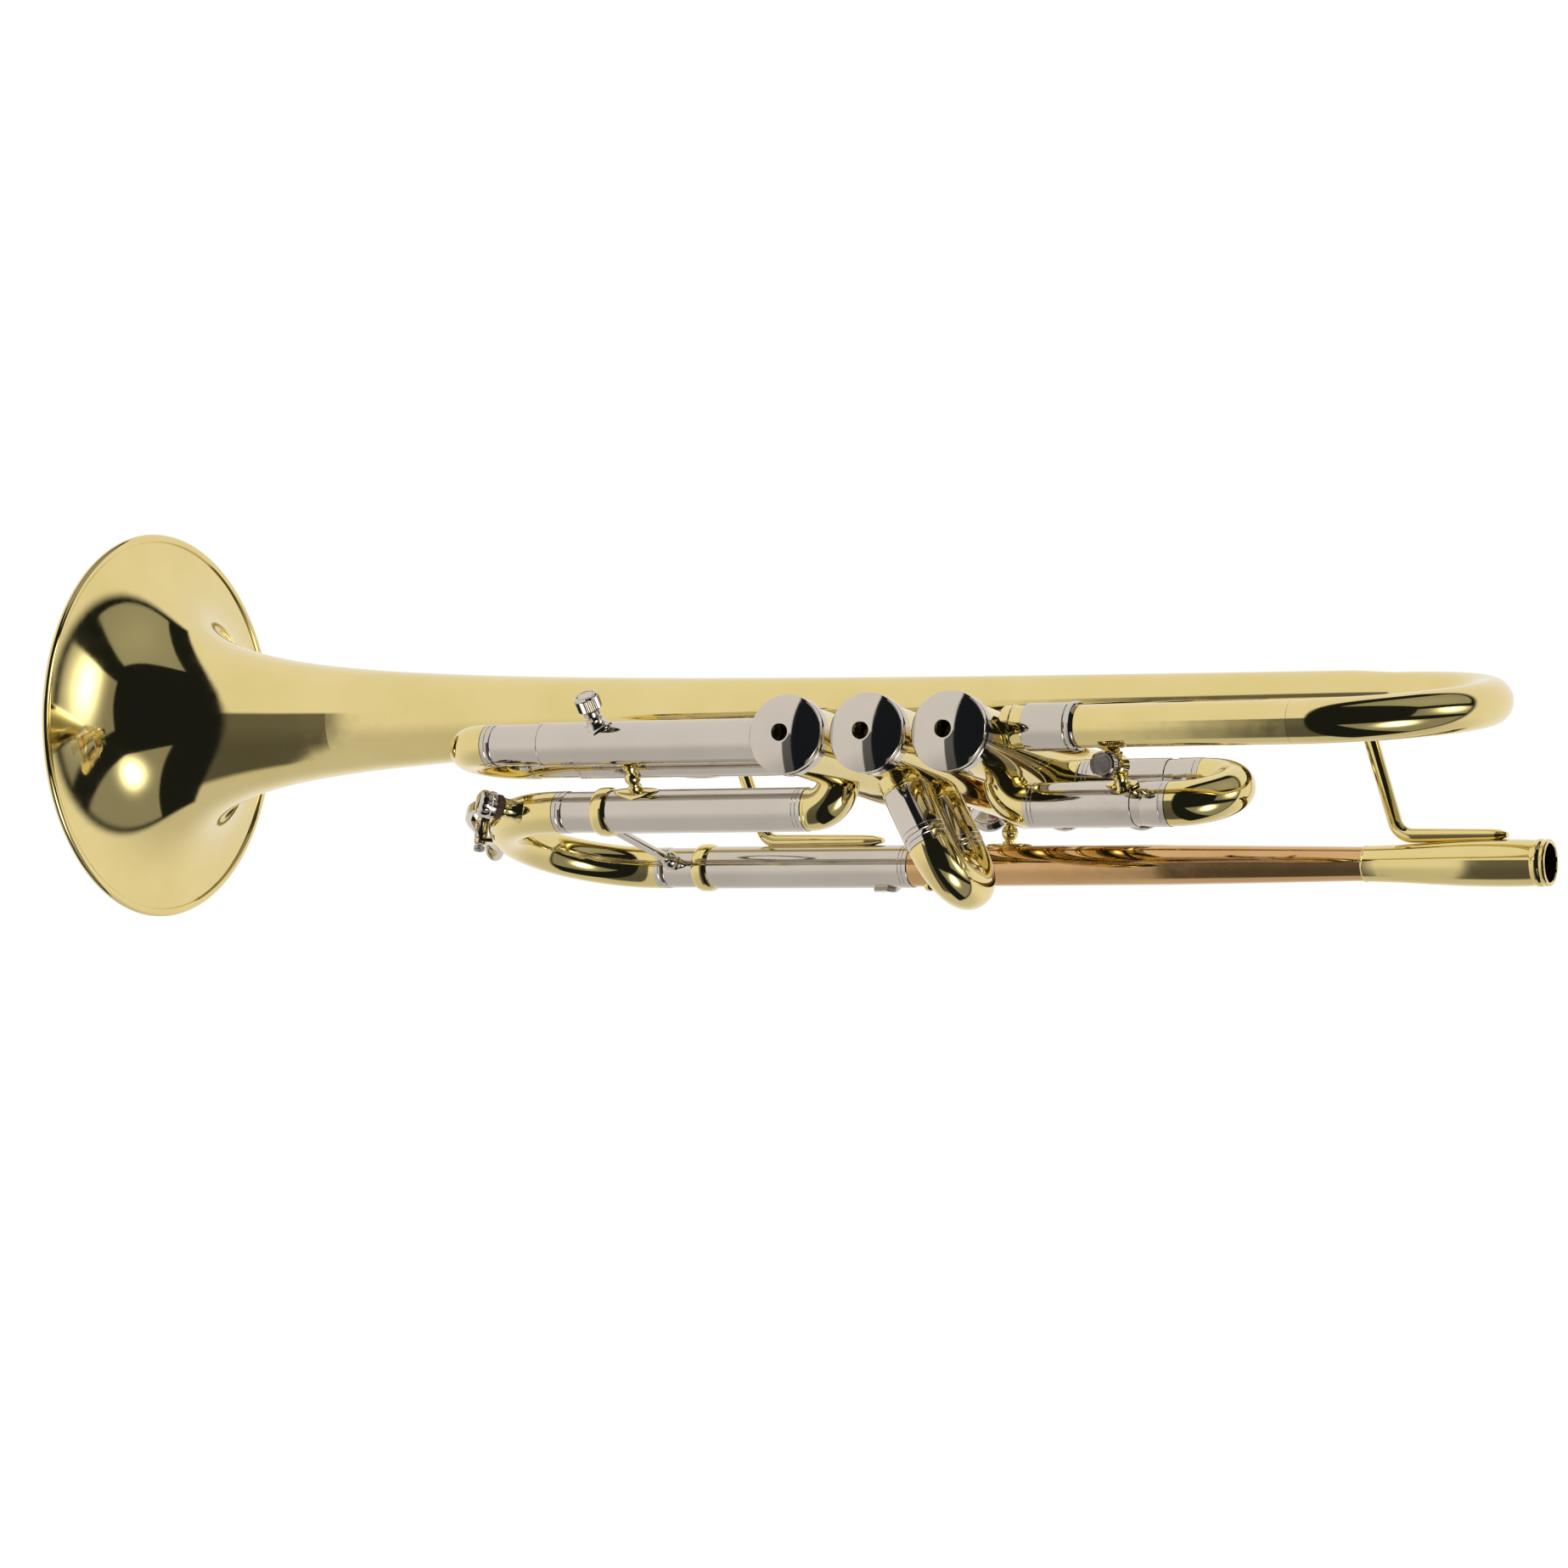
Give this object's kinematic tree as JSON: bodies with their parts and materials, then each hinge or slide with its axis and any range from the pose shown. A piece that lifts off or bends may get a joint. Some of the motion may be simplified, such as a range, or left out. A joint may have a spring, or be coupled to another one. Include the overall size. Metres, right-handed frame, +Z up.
{
  "type": "trumpet",
  "caption": "Piston-valve trumpet in B flat with a flared bell, pull-out tuning slides, a sprung water key, thumb saddle, finger ring and mouthpiece receiver.",
  "frame": {"origin": "centre of the mouthpiece receiver's mouth, where the mouthpiece shank enters", "axes": "+X along the leadpipe from the mouthpiece towards the bell, +Y to the player's left, +Z up towards the finger buttons"},
  "size_m": [0.483, 0.1338, 0.1646],
  "materials": {
    "lacquered_brass": "polished yellow brass under clear lacquer",
    "nickel_silver": "polished nickel silver",
    "rose_brass": "polished rose brass under clear lacquer",
    "monel": "honed nickel-copper alloy",
    "felt": "wool felt",
    "cork": "dark cork pad",
    "spring_steel": "drawn wire"
  },
  "bodies": {
    "frame": {"bell": "lacquered_brass", "bell_stem": "lacquered_brass", "bell_bow": "lacquered_brass", "bell_tail": "lacquered_brass", "bell_ferrule": "nickel_silver", "bell_knuckle": "lacquered_brass", "casing_1": "lacquered_brass", "casing_2": "lacquered_brass", "casing_3": "lacquered_brass", "bottom_caps": "nickel_silver", "top_caps": "nickel_silver", "valve_felts": "felt", "valve_guides": "lacquered_brass", "port_knuckles": "lacquered_brass", "leadpipe": "rose_brass", "mouthpiece_receiver": "lacquered_brass", "main_tube_upper": "nickel_silver", "main_tube_lower": "nickel_silver", "tube_rings": "lacquered_brass", "main_elbow": "lacquered_brass", "first_tubes": "nickel_silver", "first_elbow": "lacquered_brass", "second_tubes": "nickel_silver", "third_tubes": "nickel_silver", "front_brace": "lacquered_brass", "rear_brace": "lacquered_brass", "valve_posts": "lacquered_brass", "slide_post": "lacquered_brass", "lyre_holder": "lacquered_brass", "lock_saddle": "nickel_silver", "finger_hook": "nickel_silver"},
    "main_slide": {"main_crook": "lacquered_brass", "main_leg_upper": "nickel_silver", "main_leg_lower": "nickel_silver", "main_brace": "nickel_silver", "key_saddle": "lacquered_brass", "key_pin": "nickel_silver", "key_springs": "spring_steel"},
    "water_key": {"key_lever": "nickel_silver", "key_cork": "cork"},
    "third_slide": {"third_crook": "lacquered_brass", "third_legs": "nickel_silver", "finger_ring": "nickel_silver"},
    "first_slide": {"first_crook": "lacquered_brass", "first_legs": "nickel_silver", "thumb_saddle": "nickel_silver"},
    "second_slide": {"second_crook": "lacquered_brass", "second_legs": "nickel_silver"},
    "valve_1": {"piston_1": "monel", "button_1": "nickel_silver", "spring_1": "spring_steel"},
    "valve_2": {"piston_2": "monel", "button_2": "nickel_silver", "spring_2": "spring_steel"},
    "valve_3": {"piston_3": "monel", "button_3": "nickel_silver", "spring_3": "spring_steel"},
    "lock_screw": {"lock_screw": "nickel_silver"},
    "lyre_screw": {"lyre_screw": "nickel_silver"}
  },
  "joints": [
    {"name": "main_slide_pull", "type": "slide", "parent": "frame", "child": "main_slide", "axis": [1, 0, 0], "range_m": [0, 0.045]},
    {"name": "water_key_lift", "type": "hinge", "parent": "main_slide", "child": "water_key", "pos_m": [0.32528, 0.00553, -0.04421], "axis": [0, 0.9923, 0.1242], "range_deg": [-10, 0], "stiffness_Nm_per_rad": 0.05, "springref_deg": 34.38},
    {"name": "third_slide_pull", "type": "slide", "parent": "frame", "child": "third_slide", "axis": [1, 0, 0], "range_m": [0, 0.022]},
    {"name": "first_slide_pull", "type": "slide", "parent": "frame", "child": "first_slide", "axis": [-1, 0, 0], "range_m": [0, 0.016]},
    {"name": "second_slide_pull", "type": "slide", "parent": "frame", "child": "second_slide", "axis": [-0.5, -0.866, 0], "range_m": [0, 0.01]},
    {"name": "valve_1_press", "type": "slide", "parent": "frame", "child": "valve_1", "axis": [0, 0, -1], "range_m": [0, 0.016], "stiffness_N_per_m": 100, "springref_m": -0.02, "deforming": ["spring_1"]},
    {"name": "valve_2_press", "type": "slide", "parent": "frame", "child": "valve_2", "axis": [0, 0, -1], "range_m": [0, 0.016], "stiffness_N_per_m": 100, "springref_m": -0.02, "deforming": ["spring_2"]},
    {"name": "valve_3_press", "type": "slide", "parent": "frame", "child": "valve_3", "axis": [0, 0, -1], "range_m": [0, 0.016], "stiffness_N_per_m": 100, "springref_m": -0.02, "deforming": ["spring_3"]},
    {"name": "lock_screw_turn", "type": "hinge", "parent": "frame", "child": "lock_screw", "pos_m": [0.2655, 0.0264, -0.0753], "axis": [0.0803, 0.7624, -0.6421], "range_deg": [0, 360]},
    {"name": "lyre_screw_turn", "type": "hinge", "parent": "frame", "child": "lyre_screw", "pos_m": [0.1035, 0.0184, -0.0685], "axis": [-0.0198, -0.1289, -0.9915], "range_deg": [0, 360]}
  ]
}
